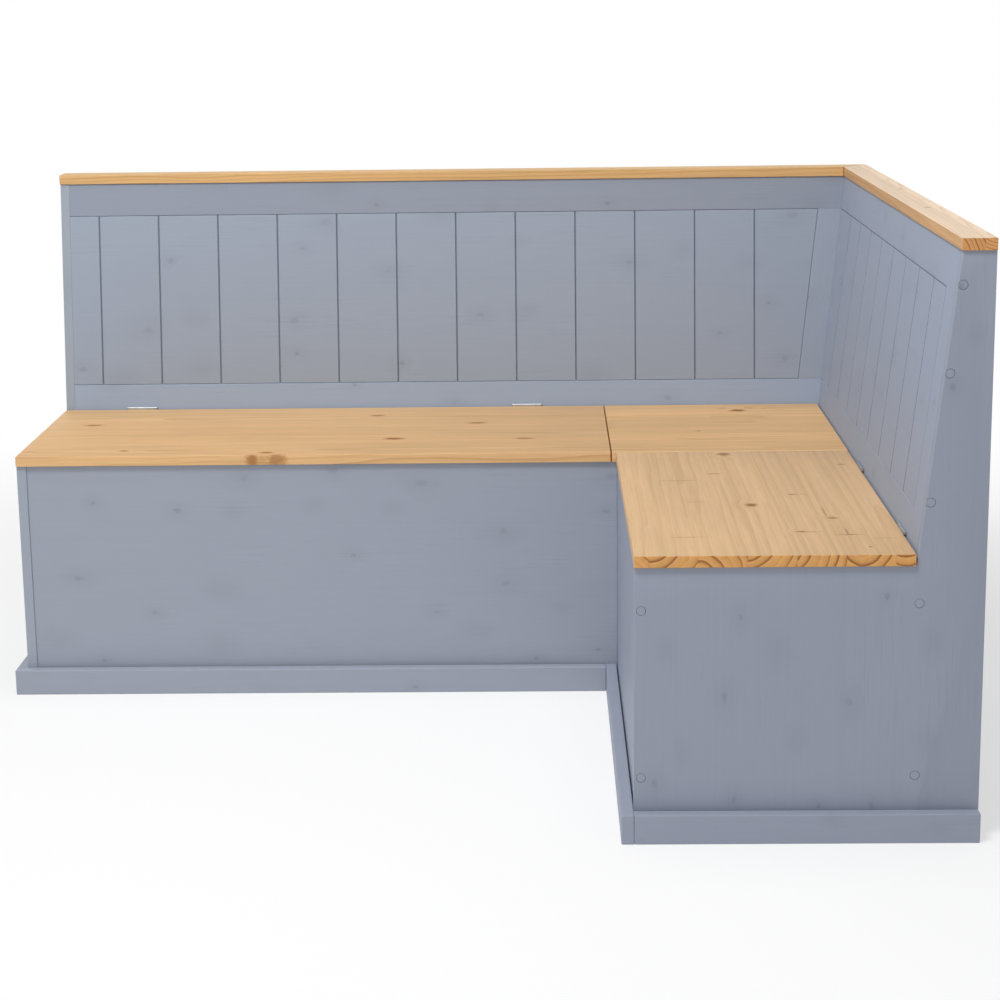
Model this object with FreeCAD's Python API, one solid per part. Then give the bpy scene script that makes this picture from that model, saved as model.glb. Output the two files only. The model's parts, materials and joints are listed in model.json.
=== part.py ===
import FreeCAD, Part
import math
import os

os.makedirs("parts", exist_ok=True)

# Corner storage bench: two seat chests that meet at a right angle, a fixed corner seat
# between them, leaning backrests on the two wall sides and a wooden cap on top.
# Lengths are millimetres. X runs to the right along the long leg, Y away from the room
# to the long back, Z up. The origin is on the floor in the middle of the outer box.

# Sizes of the whole bench
long_run = 1120.0
short_run = 715.0
leg_depth = 535.0
bench_height = 940.0
seat_height = 460.0

# Board thicknesses
board = 18.0
lid_thick = 19.0
cap_thick = 19.0
plinth_thick = 20.0
floor_thick = 10.0

# Plinth, backrest and cap
plinth_high = 48.0
back_lean = 6.6
panel_foot_wide = 106.0
back_set_in = 0.5
cap_over = 2.5
cap_left_over = 1.0
cap_front_over = 3.0
cap_mitre_gap = 1.5
bottom_rail_high = 70.0
top_rail_high = 65.5
corner_stile_wide = 47.0
front_stile_wide = 66.0

# Grooves in the backrest fields
long_first_groove = 78.0
long_groove_pitch = 122.1
long_groove_count = 12
short_first_groove = 182.0
short_groove_pitch = 124.0
short_groove_count = 8
groove_wide = 4.0
groove_deep = 3.0
joint_wide = 2.4
joint_deep = 1.6

# Chest walls, measured inwards from the outer front and from the rear
front_set_in = 2.0
rear_space = 91.0
partition_behind_seam = 5.0

# Seats
long_lid_over = 5.0
short_lid_end_over = 5.0
lid_back_gap = 1.8
corner_back_gap = 1.0
long_lid_short_of_corner = 10.0
seam_gap = 2.0
cross_seam_gap = 1.5

# Battens under the seats and floors
rest_wide = 20.0
rest_high = 30.0
floor_batten = 20.0
floor_level = 60.0

# Post behind the corner of the backrests
post_wide = 60.0

# Butt hinges
hinge_long = 60.0
long_hinge_from_end = 158.0
short_hinge_from_end = 142.0
barrel_radius = 2.4
pin_radius = 1.2
pin_clearance = 0.05
leaf_thick = 1.2
leaf_below_seat = 17.0
barrel_above_seat = 3.0
barrel_relief = 0.4
knuckle_gap = 0.4
mortise_margin = 5.0
pin_head_radius = 2.4
pin_head_thick = 0.8
hinge_screw_radius = 1.4
hinge_screw_head = 2.7
hinge_screw_long = 14.0
hinge_screw_below_seat = 9.0
hinge_screw_step = 20.0

# Screws through the end panels, each under a wooden plug
plug_radius = 7.0
plug_long = 6.0
screw_head_radius = 5.0
screw_head_long = 4.0
screw_radius = 2.5
screw_long = 50.0
screw_clearance = 0.05
back_plug_behind_face = 7.0
back_plugs_below_cap = [51.0, 184.0, 382.0]
rear_plug_below_seat = 60.0
rear_plug_above_floor = 104.0
front_plug_below_seat = 69.0
front_plug_above_floor = 102.0

# How far a cutting shape runs past the faces that it cuts
cut_spare = 1.0

# Positions that follow from the sizes
left_x = plinth_thick - (plinth_thick + long_run + leg_depth) / 2.0
right_x = left_x + long_run + leg_depth
inner_x = left_x + long_run
front_y = plinth_thick - (plinth_thick + short_run + leg_depth) / 2.0
rear_y = front_y + short_run + leg_depth
inner_y = front_y + short_run
seat_under = seat_height - lid_thick
cap_under = bench_height - cap_thick
bottom_rail_top = seat_under + bottom_rail_high
top_rail_bottom = cap_under - top_rail_high
leaf_bottom = seat_height - leaf_below_seat
barrel_height = seat_height + barrel_above_seat
hinge_screw_height = seat_height - hinge_screw_below_seat
lean = math.tan(math.radians(back_lean))
back_flat_thick = board / math.cos(math.radians(back_lean))
back_board_face = rear_space + board
front_panel_face = leg_depth - front_set_in
front_panel_inside = front_panel_face - board
partition_rear = inner_y + partition_behind_seam
partition_front = partition_rear - board
cap_wide = panel_foot_wide - (cap_under - seat_under) * lean + cap_over
lid_rear_edge = panel_foot_wide - back_set_in + lid_back_gap
corner_rear_edge = panel_foot_wide - back_set_in + corner_back_gap


# Every piece is laid out by its place along a leg, its depth from the wall and its height
def point(leg, run, depth, z):
    if leg == "long":
        return FreeCAD.Vector(run, rear_y - depth, z)
    return FreeCAD.Vector(right_x - depth, run, z)


# A direction given by its parts along the leg, out from the wall and up
def direction(leg, run, depth, z):
    if leg == "long":
        return FreeCAD.Vector(run, -depth, z)
    return FreeCAD.Vector(-depth, run, z)


# A prism along the leg whose end shape is a list of depth and height pairs
def slab(leg, start, end, outline):
    corners = [point(leg, start, depth, z) for depth, z in outline]
    face = Part.Face(Part.makePolygon(corners + corners[:1]))
    return face.extrude(direction(leg, end - start, 0, 0))


# A square-edged board between two places, two depths and two heights
def plank(leg, start, end, near, far, low, high):
    return slab(leg, start, end, [(near, low), (far, low), (far, high), (near, high)])


# Depth of the sloping edge of the end panels at a height
def panel_edge(z):
    return panel_foot_wide - (z - seat_under) * lean


# Depth of the backrest face and of its rear face at a height
def back_face(z):
    return panel_edge(z) - back_set_in


def back_rear(z):
    return back_face(z) - back_flat_thick


# A round rod from a point along a direction
def rod(start, way, radius, length):
    return Part.makeCylinder(radius, length, start, way)


# A leaning backrest board between two heights
def leaning_board(leg, start, end, low, high):
    outline = [
        (back_face(low), low),
        (back_rear(low), low),
        (back_rear(high), high),
        (back_face(high), high),
    ]
    return slab(leg, start, end, outline)


# The block that trims a board of one leg at the mitre in the rear corner
def mitre_block(leg, gap):
    reach = leg_depth
    shift = gap / 2.0 / math.sqrt(2.0)
    low = -cut_spare
    tip = FreeCAD.Vector(right_x + reach, rear_y + reach, low)
    toe = FreeCAD.Vector(right_x - reach, rear_y - reach, low)
    side = FreeCAD.Vector(right_x + reach, rear_y - reach, low)
    move = FreeCAD.Vector(-shift, shift, 0)
    if leg == "short":
        side = FreeCAD.Vector(right_x - reach, rear_y + reach, low)
        move = FreeCAD.Vector(shift, -shift, 0)
    face = Part.Face(Part.makePolygon([tip, toe, side, tip]))
    face.translate(move)
    return face.extrude(FreeCAD.Vector(0, 0, bench_height + 2 * cut_spare))


# A V groove on the backrest face, from a low place to a high place
def face_groove(leg, low_run, low, high_run, high, wide, deep):
    half = wide / 2.0 * (1.0 + cut_spare / deep)
    corners = [
        point(leg, low_run - half, back_face(low) + cut_spare, low),
        point(leg, low_run + half, back_face(low) + cut_spare, low),
        point(leg, low_run, back_face(low) - deep, low),
    ]
    face = Part.Face(Part.makePolygon(corners + corners[:1]))
    rise = back_face(high) - back_face(low)
    return face.extrude(direction(leg, high_run - low_run, rise, high - low))


# A V groove along the leg at one height, shared by the boards above and below
def level_groove(leg, start, end, z):
    half = joint_wide / 2.0 * (1.0 + cut_spare / joint_deep)
    outline = [
        (back_face(z) + cut_spare, z - half),
        (back_face(z) + cut_spare, z + half),
        (back_face(z) - joint_deep, z),
    ]
    return slab(leg, start, end, outline)


# Where the end panel screws sit: depth and height of each
def end_screw_places():
    heights = [cap_under - below for below in back_plugs_below_cap]
    places = [(back_face(z) - back_plug_behind_face, z) for z in heights]
    rear = rear_space + board / 2.0
    front = front_panel_face - board / 2.0
    places += [(rear, seat_under - rear_plug_below_seat), (rear, rear_plug_above_floor)]
    places += [(front, seat_under - front_plug_below_seat), (front, front_plug_above_floor)]
    return places


# The outer face of a leg's end panel, where its screws start
def end_face(leg):
    return left_x if leg == "long" else front_y


# Bores for the end screws: a wide one for plug and head, a narrow one for the shank
def end_bores(leg):
    way = direction(leg, 1, 0, 0)
    bores = []
    for depth, z in end_screw_places():
        start = point(leg, end_face(leg), depth, z)
        bores.append(rod(start, way, plug_radius + screw_clearance, plug_long + screw_head_long))
        bores.append(rod(start, way, screw_radius + screw_clearance, plug_long + screw_long))
    return bores


# The screws and the plugs that hide them
def end_screws(leg):
    way = direction(leg, 1, 0, 0)
    screws = []
    for depth, z in end_screw_places():
        start = point(leg, end_face(leg) + plug_long, depth, z)
        head = rod(start, way, screw_head_radius, screw_head_long)
        shank = rod(start, way, screw_radius, screw_long)
        screws.append(head.fuse(shank).removeSplitter())
    return Part.makeCompound(screws)


def end_plugs(leg):
    way = direction(leg, 1, 0, 0)
    plugs = []
    for depth, z in end_screw_places():
        plugs.append(rod(point(leg, end_face(leg), depth, z), way, plug_radius, plug_long))
    return Part.makeCompound(plugs)


# Where a lid starts and ends along its leg
def lid_span(leg):
    if leg == "long":
        return left_x, inner_x - long_lid_short_of_corner
    return front_y - short_lid_end_over, inner_y - long_lid_over - cross_seam_gap


# Places of the two hinges of a lid, by the middle of each hinge along the leg
def hinge_places(leg):
    start, end = lid_span(leg)
    inset = long_hinge_from_end if leg == "long" else short_hinge_from_end
    return [start + inset, end - inset]


# Depth of the hinge pin, midway between the lid seat of the leaf and the backrest
def pin_depth():
    return (lid_rear_edge + leaf_thick + back_face(barrel_height)) / 2.0


# The three knuckles of one hinge: start and end of each along the leg
def knuckles(middle):
    third = hinge_long / 3.0
    start = middle - hinge_long / 2.0
    spans = [(start + i * third, start + (i + 1) * third) for i in range(3)]
    return [(a + knuckle_gap / 2.0, b - knuckle_gap / 2.0) for a, b in spans]


# A hinge leaf is a plate with its own knuckles, cut clear of the other leaf's knuckles
def hinge_leaf(leg, middle, plate, own, others):
    way = direction(leg, 1, 0, 0)
    leaf = plate
    for a, b in own:
        start = point(leg, a, pin_depth(), barrel_height)
        leaf = leaf.fuse(rod(start, way, barrel_radius, b - a))
    for a, b in others:
        start = point(leg, a - knuckle_gap, pin_depth(), barrel_height)
        leaf = leaf.cut(rod(start, way, barrel_radius + barrel_relief, b - a + 2 * knuckle_gap))
    start = point(leg, middle - hinge_long / 2.0, pin_depth(), barrel_height)
    bore = rod(start, way, pin_radius + pin_clearance, hinge_long)
    return leaf.cut(bore)


# Countersunk screws of a leaf; with a clearance they are the tools that cut their holes
def hinge_screw_runs(leg):
    steps = (-hinge_screw_step, 0, hinge_screw_step)
    return [middle + step for middle in hinge_places(leg) for step in steps]


def hinge_screws(starts, way, clearance):
    head = hinge_screw_head + clearance
    radius = hinge_screw_radius + clearance
    length = hinge_screw_long + clearance
    screws = []
    for start in starts:
        cone = Part.makeCone(head, radius, leaf_thick, start, way)
        screws.append(cone.fuse(rod(start, way, radius, length)))
    return screws


def frame_screw_start(leg, run):
    tilt = math.radians(back_lean)
    depth = back_face(hinge_screw_height) + leaf_thick * math.cos(tilt)
    return point(leg, run, depth, hinge_screw_height + leaf_thick * math.sin(tilt))


def frame_screw_way(leg):
    tilt = math.radians(back_lean)
    return direction(leg, 0, -math.cos(tilt), -math.sin(tilt))


def lid_screw_start(leg, run):
    return point(leg, run, lid_rear_edge, hinge_screw_height)


def frame_screws(leg, clearance):
    starts = [frame_screw_start(leg, run) for run in hinge_screw_runs(leg)]
    return hinge_screws(starts, frame_screw_way(leg), clearance)


def lid_screws(leg, clearance):
    starts = [lid_screw_start(leg, run) for run in hinge_screw_runs(leg)]
    return hinge_screws(starts, direction(leg, 0, 1, 0), clearance)


# The leaf on the backrest follows its slope
def frame_leaf(leg, middle):
    flat = leaf_thick / math.cos(math.radians(back_lean))
    outline = [
        (back_face(leaf_bottom), leaf_bottom),
        (back_face(leaf_bottom) + flat, leaf_bottom),
        (back_face(barrel_height) + flat, barrel_height),
        (back_face(barrel_height), barrel_height),
    ]
    plate = slab(leg, middle - hinge_long / 2.0, middle + hinge_long / 2.0, outline)
    first, second, third = knuckles(middle)
    leaf = hinge_leaf(leg, middle, plate, [first, third], [second])
    for tool in frame_screws(leg, screw_clearance):
        leaf = leaf.cut(tool)
    return leaf


# The leaf on the lid is let into a mortise in the rear edge
def lid_leaf(leg, middle):
    near = lid_rear_edge
    far = lid_rear_edge + leaf_thick
    start = middle - hinge_long / 2.0
    plate = plank(leg, start, start + hinge_long, near, far, leaf_bottom, barrel_height)
    first, second, third = knuckles(middle)
    leaf = hinge_leaf(leg, middle, plate, [second], [first, third])
    for tool in lid_screws(leg, screw_clearance):
        leaf = leaf.cut(tool)
    return leaf


def hinge_pin(leg, middle):
    way = direction(leg, 1, 0, 0)
    start = middle - hinge_long / 2.0
    shaft = rod(point(leg, start, pin_depth(), barrel_height), way, pin_radius, hinge_long)
    for end in (start - pin_head_thick, start + hinge_long):
        cap = rod(point(leg, end, pin_depth(), barrel_height), way, pin_head_radius, pin_head_thick)
        shaft = shaft.fuse(cap)
    return shaft.removeSplitter()


# The shaped end panel: a chest side below, a leaning arm for the backrest above
def end_panel(leg):
    outline = [
        (0, 0),
        (leg_depth, 0),
        (leg_depth, seat_under),
        (panel_edge(seat_under), seat_under),
        (panel_edge(cap_under), cap_under),
        (0, cap_under),
    ]
    panel = slab(leg, end_face(leg), end_face(leg) + board, outline)
    for bore in end_bores(leg):
        panel = panel.cut(bore)
    return panel


# Where the boards of a leg start, just inside its end panel
def inside_end(leg):
    return end_face(leg) + board


# Chest front and back boards
def long_front_panel():
    end = right_x - front_panel_face
    panel = plank("long", inside_end("long"), end, front_panel_inside, front_panel_face, 0, seat_under)
    return panel.cut(Part.makeCompound(end_bores("long")))


def short_front_panel():
    end = rear_y - front_panel_inside
    panel = plank("short", inside_end("short"), end, front_panel_inside, front_panel_face, 0, seat_under)
    return panel.cut(Part.makeCompound(end_bores("short")))


def long_back_panel():
    end = right_x - rear_space
    panel = plank("long", inside_end("long"), end, rear_space, back_board_face, 0, seat_under)
    return panel.cut(Part.makeCompound(end_bores("long")))


def short_back_panel():
    end = rear_y - back_board_face
    panel = plank("short", inside_end("short"), end, rear_space, back_board_face, 0, seat_under)
    return panel.cut(Part.makeCompound(end_bores("short")))


# Walls between each chest and the corner
def long_partition():
    return plank("long", inner_x - board, inner_x, back_board_face, front_panel_inside, 0, seat_under)


def short_partition():
    return plank("short", partition_front, partition_rear, back_board_face, front_panel_inside, 0, seat_under)


# The far end of a chest's inside
def chest_end(leg):
    return inner_x - board if leg == "long" else partition_front


# A board inside a chest, from end to end
def inside_chest(leg, near, far, low, high):
    return plank(leg, inside_end(leg), chest_end(leg), near, far, low, high)


# Chest floor and the battens below it
def chest_floor(leg):
    high = floor_level + floor_thick
    return inside_chest(leg, back_board_face, front_panel_inside, floor_level, high)


def floor_batten_rear(leg):
    far = back_board_face + floor_batten
    return inside_chest(leg, back_board_face, far, floor_level - floor_batten, floor_level)


def floor_batten_front(leg):
    near = front_panel_inside - floor_batten
    return inside_chest(leg, near, front_panel_inside, floor_level - floor_batten, floor_level)


# Battens that carry the rear edge of each lid and the corner seat
def lid_rest(leg):
    far = back_board_face + rest_wide
    return inside_chest(leg, back_board_face, far, seat_under - rest_high, seat_under)


def corner_rest_rear():
    far = back_board_face + rest_wide
    low = seat_under - rest_high
    return plank("long", inner_x, right_x - back_board_face, back_board_face, far, low, seat_under)


def corner_rest_side():
    far = back_board_face + rest_wide
    low = seat_under - rest_high
    return plank("short", partition_rear, rear_y - far, back_board_face, far, low, seat_under)


# Backrest boards of a leg, trimmed at the corner mitre and grooved along their joints
def trimmed(leg, shape, gap):
    return shape.cut(mitre_block(leg, gap))


def run_end(leg):
    return right_x if leg == "long" else rear_y


# The joint between field and stile of each backrest, as places at its low and high end
def stile_line(leg):
    if leg == "long":
        low = right_x - back_face(bottom_rail_top) - corner_stile_wide
        high = right_x - back_face(top_rail_bottom) - corner_stile_wide
        return low, high
    place = inside_end(leg) + front_stile_wide
    return place, place


# The joints between field and rails run from the end away from the stile
def joint_grooves(leg):
    grooves = []
    for z, line in zip((bottom_rail_top, top_rail_bottom), stile_line(leg)):
        start, end = inside_end(leg), line
        if leg == "short":
            start, end = line, run_end(leg)
        grooves.append(level_groove(leg, start, end, z))
    return grooves


def top_rail(leg):
    rail = leaning_board(leg, inside_end(leg), run_end(leg), top_rail_bottom, cap_under)
    for tool in joint_grooves(leg) + end_bores(leg):
        rail = rail.cut(tool)
    return trimmed(leg, rail, 0)


def bottom_rail(leg):
    rail = leaning_board(leg, inside_end(leg), run_end(leg), seat_under, bottom_rail_top)
    for tool in joint_grooves(leg) + end_bores(leg) + frame_screws(leg, screw_clearance):
        rail = rail.cut(tool)
    return trimmed(leg, rail, 0)


# The leaning layer between the rails, and the block that covers its stile
def field_layer(leg):
    layer = leaning_board(leg, inside_end(leg), run_end(leg), bottom_rail_top, top_rail_bottom)
    return trimmed(leg, layer, 0)


def stile_block(leg):
    low, high = stile_line(leg)
    edge = run_end(leg) if leg == "long" else inside_end(leg)
    corners = [
        point(leg, low, -cut_spare, bottom_rail_top),
        point(leg, edge, -cut_spare, bottom_rail_top),
        point(leg, edge, -cut_spare, top_rail_bottom),
        point(leg, high, -cut_spare, top_rail_bottom),
    ]
    face = Part.Face(Part.makePolygon(corners + corners[:1]))
    return face.extrude(direction(leg, 0, leg_depth, 0))


def stile_groove(leg):
    low, high = stile_line(leg)
    return face_groove(leg, low, bottom_rail_top, high, top_rail_bottom, joint_wide, joint_deep)


def stile(leg):
    piece = field_layer(leg).common(stile_block(leg)).cut(stile_groove(leg))
    for tool in end_bores(leg):
        piece = piece.cut(tool)
    return piece


def field(leg, first, pitch, count):
    piece = field_layer(leg).cut(stile_block(leg)).cut(stile_groove(leg))
    for tool in joint_grooves(leg) + end_bores(leg):
        piece = piece.cut(tool)
    for i in range(count):
        run = end_face(leg) + first + i * pitch
        low = bottom_rail_top
        piece = piece.cut(face_groove(leg, run, low, run, top_rail_bottom, groove_wide, groove_deep))
    return piece


# Caps, mitred in the corner
def cap(leg, over):
    piece = plank(leg, end_face(leg) - over, run_end(leg), 0, cap_wide, cap_under, bench_height)
    return trimmed(leg, piece, cap_mitre_gap)


# Plinth boards along the feet of the visible sides
def long_plinth_front():
    far = leg_depth + plinth_thick
    return plank("long", left_x - plinth_thick, inner_x - plinth_thick, leg_depth, far, 0, plinth_high)


def long_plinth_side():
    return plank("long", left_x - plinth_thick, left_x, 0, leg_depth, 0, plinth_high)


def short_plinth_side():
    far = leg_depth + plinth_thick
    return plank("short", front_y - plinth_thick, inner_y, leg_depth, far, 0, plinth_high)


def short_plinth_end():
    return plank("short", front_y - plinth_thick, front_y, 0, leg_depth, 0, plinth_high)


# Lids with a mortise for each hinge leaf and bores for its screws
def lid(leg, far):
    start, end = lid_span(leg)
    piece = plank(leg, start, end, lid_rear_edge, far, seat_under, seat_height)
    for middle in hinge_places(leg):
        a = middle - hinge_long / 2.0 - mortise_margin
        b = middle + hinge_long / 2.0 + mortise_margin
        piece = piece.cut(plank(leg, a, b, 0, lid_rear_edge + leaf_thick, seat_under, seat_height))
    for tool in lid_screws(leg, screw_clearance):
        piece = piece.cut(tool)
    return piece


def corner_seat():
    start = inner_x - long_lid_short_of_corner + seam_gap
    end = right_x - corner_rear_edge
    far = leg_depth + long_lid_over
    return plank("long", start, end, corner_rear_edge, far, seat_under, seat_height)


# The post behind the corner, planed to the slope of both backrests
def corner_post():
    post = plank("long", right_x - post_wide, right_x, 0, post_wide, 0, cap_under)
    for leg in ("long", "short"):
        slope = [
            (back_rear(0), 0),
            (leg_depth, 0),
            (leg_depth, cap_under),
            (back_rear(cap_under), cap_under),
        ]
        post = post.cut(slab(leg, end_face(leg), run_end(leg) + cut_spare, slope))
    return post


# Each node is written to its own file
def save(name, shape):
    shape.exportStep(os.path.join("parts", name + ".step"))
    print(name, "solids", len(shape.Solids), "volume cm3", round(shape.Volume / 1000.0, 1))


save("long_front_panel", long_front_panel())
save("long_back_panel", long_back_panel())
save("long_partition", long_partition())
save("long_back_field", field("long", long_first_groove, long_groove_pitch, long_groove_count))
save("long_back_corner_stile", stile("long"))
save("long_cap", cap("long", cap_left_over))
save("long_plinth_front", long_plinth_front())
save("long_plinth_side", long_plinth_side())
save("long_lid", lid("long", leg_depth + long_lid_over))

save("corner_seat", corner_seat())
save("corner_rest_rear", corner_rest_rear())
save("corner_rest_side", corner_rest_side())
save("corner_post", corner_post())

save("short_front_panel", short_front_panel())
save("short_back_panel", short_back_panel())
save("short_partition", short_partition())
save("short_back_field", field("short", short_first_groove, short_groove_pitch, short_groove_count))
save("short_back_front_stile", stile("short"))
save("short_cap", cap("short", cap_front_over))
save("short_plinth_side", short_plinth_side())
save("short_plinth_end", short_plinth_end())
save("short_lid", lid("short", leg_depth))

for leg in ("long", "short"):
    save(leg + "_end_panel", end_panel(leg))
    save(leg + "_floor", chest_floor(leg))
    save(leg + "_floor_batten_front", floor_batten_front(leg))
    save(leg + "_floor_batten_rear", floor_batten_rear(leg))
    save(leg + "_lid_rest", lid_rest(leg))
    save(leg + "_back_bottom_rail", bottom_rail(leg))
    save(leg + "_back_top_rail", top_rail(leg))
    for side, middle in zip(("near", "far"), hinge_places(leg)):
        save(leg + "_hinge_" + side + "_frame_leaf", frame_leaf(leg, middle))
        save(leg + "_hinge_" + side + "_lid_leaf", lid_leaf(leg, middle))
        save(leg + "_hinge_" + side + "_pin", hinge_pin(leg, middle))
    save(leg + "_hinge_frame_screws", Part.makeCompound(frame_screws(leg, 0)))
    save(leg + "_hinge_lid_screws", Part.makeCompound(lid_screws(leg, 0)))
    save(leg + "_end_screws", end_screws(leg))
    save(leg + "_end_plugs", end_plugs(leg))
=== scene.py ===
# %% [markdown]
# A corner storage bench: two chests that meet at a right angle, lids of oiled pine on
# steel hinges, painted pine walls and backrests, and pine caps. The engineering model
# gives every board its real place and size, so this lesson is about what the eye adds:
# eased edges, wood with rings and knots, brushed paint, steel and soft light. The model
# is loaded first, and its box is kept, because the finished bench has to stay inside it.

# %% Load the bench
import json
import math

import bmesh
import bpy
from mathutils import Matrix, Vector


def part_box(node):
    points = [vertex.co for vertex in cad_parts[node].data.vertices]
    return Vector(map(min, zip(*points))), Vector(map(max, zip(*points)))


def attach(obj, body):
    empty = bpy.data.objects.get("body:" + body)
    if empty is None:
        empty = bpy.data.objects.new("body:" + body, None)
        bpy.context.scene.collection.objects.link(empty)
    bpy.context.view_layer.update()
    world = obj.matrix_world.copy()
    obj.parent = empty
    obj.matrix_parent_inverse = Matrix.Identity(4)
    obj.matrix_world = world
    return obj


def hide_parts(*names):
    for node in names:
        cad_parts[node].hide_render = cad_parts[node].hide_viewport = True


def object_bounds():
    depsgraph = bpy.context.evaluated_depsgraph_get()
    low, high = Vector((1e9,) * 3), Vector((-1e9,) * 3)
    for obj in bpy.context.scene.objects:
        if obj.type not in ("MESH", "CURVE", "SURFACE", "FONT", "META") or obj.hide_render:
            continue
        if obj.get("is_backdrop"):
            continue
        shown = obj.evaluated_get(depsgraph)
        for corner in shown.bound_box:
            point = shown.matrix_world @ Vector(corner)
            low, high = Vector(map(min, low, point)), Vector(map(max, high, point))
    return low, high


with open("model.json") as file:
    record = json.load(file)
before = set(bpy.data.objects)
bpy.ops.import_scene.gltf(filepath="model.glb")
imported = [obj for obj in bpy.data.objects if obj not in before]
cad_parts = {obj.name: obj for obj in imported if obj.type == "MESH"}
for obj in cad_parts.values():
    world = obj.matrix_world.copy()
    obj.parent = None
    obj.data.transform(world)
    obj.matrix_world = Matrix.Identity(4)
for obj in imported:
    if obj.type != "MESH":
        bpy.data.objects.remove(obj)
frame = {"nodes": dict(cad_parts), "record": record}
cad_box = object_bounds()
nodes = frame["nodes"]
mm = 0.001
print("nodes:", len(nodes), "box in metres:", [round(v, 4) for v in cad_box[1] - cad_box[0]])

# %% [markdown]
# Paint and wood are mixed on a screen, so their colours are written as the hex
# values that a screen shows. Blender works in linear light, so one function turns the
# hex value round. A second function adds a shader node with its settings and links, which
# keeps each material short enough to read.

# %% Colours and nodes
def linear(code):
    parts = [int(code[i:i + 2], 16) / 255 for i in (1, 3, 5)]
    return [v / 12.92 if v <= 0.04045 else ((v + 0.055) / 1.055) ** 2.4 for v in parts] + [1.0]


def add(tree, kind, settings=None, links=None, stops=None):
    node = tree.nodes.new(kind)
    for name, value in (settings or {}).items():
        if isinstance(name, int) or name in node.inputs:
            node.inputs[name].default_value = value
        else:
            setattr(node, name, value)
    for name, source in (links or {}).items():
        tree.links.new(source, node.inputs[name])
    for i, (place, code) in enumerate(stops or []):
        ramp = node.color_ramp.elements
        stop = ramp[i] if i < 2 else ramp.new(place)
        stop.position = place
        stop.color = linear(code)
    return node


def new_material(name):
    material = bpy.data.materials.new(name)
    material.use_nodes = True
    material.node_tree.nodes.clear()
    return material, material.node_tree


def finish_material(material, shader):
    output = material.node_tree.nodes.new("ShaderNodeOutputMaterial")
    material.node_tree.links.new(shader.outputs[0], output.inputs["Surface"])
    return material


print("a painted chest in linear light:", [round(v, 3) for v in linear("#9AA0AD")])

# %% [markdown]
# A pine board is a slice of a trunk, so its figure is worked out as the trunk grew. The
# board is glued from staves, and each stave comes from another tree: it gets its own
# centre of the rings, somewhere under or over the board. The distance from that centre,
# divided by the ring width, says where in a year's growth a point lies. Cut along the
# trunk this gives long flames, and cut across it gives the arcs that show on the end of
# the short lid. Coordinates are read from the object, turned so that the first one runs
# along the grain, the second across the board and the third through it.

# %% Growth rings
def board_place(tree, order, centre):
    where = add(tree, "ShaderNodeTexCoord")
    moved = add(tree, "ShaderNodeVectorMath", {"operation": "SUBTRACT", 1: centre},
                {0: where.outputs["Object"]})
    split = add(tree, "ShaderNodeSeparateXYZ", {}, {0: moved.outputs[0]})
    turned = {i: split.outputs["XYZ".index(axis)] for i, axis in enumerate(order)}
    return add(tree, "ShaderNodeCombineXYZ", {}, turned).outputs[0]


def stretched(tree, place, along, across, seed):
    scaled = add(tree, "ShaderNodeVectorMath",
                 {"operation": "MULTIPLY_ADD", 1: (along, across, across), 2: (seed * 3.7, seed, 0)},
                 {0: place})
    return scaled.outputs[0]


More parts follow.
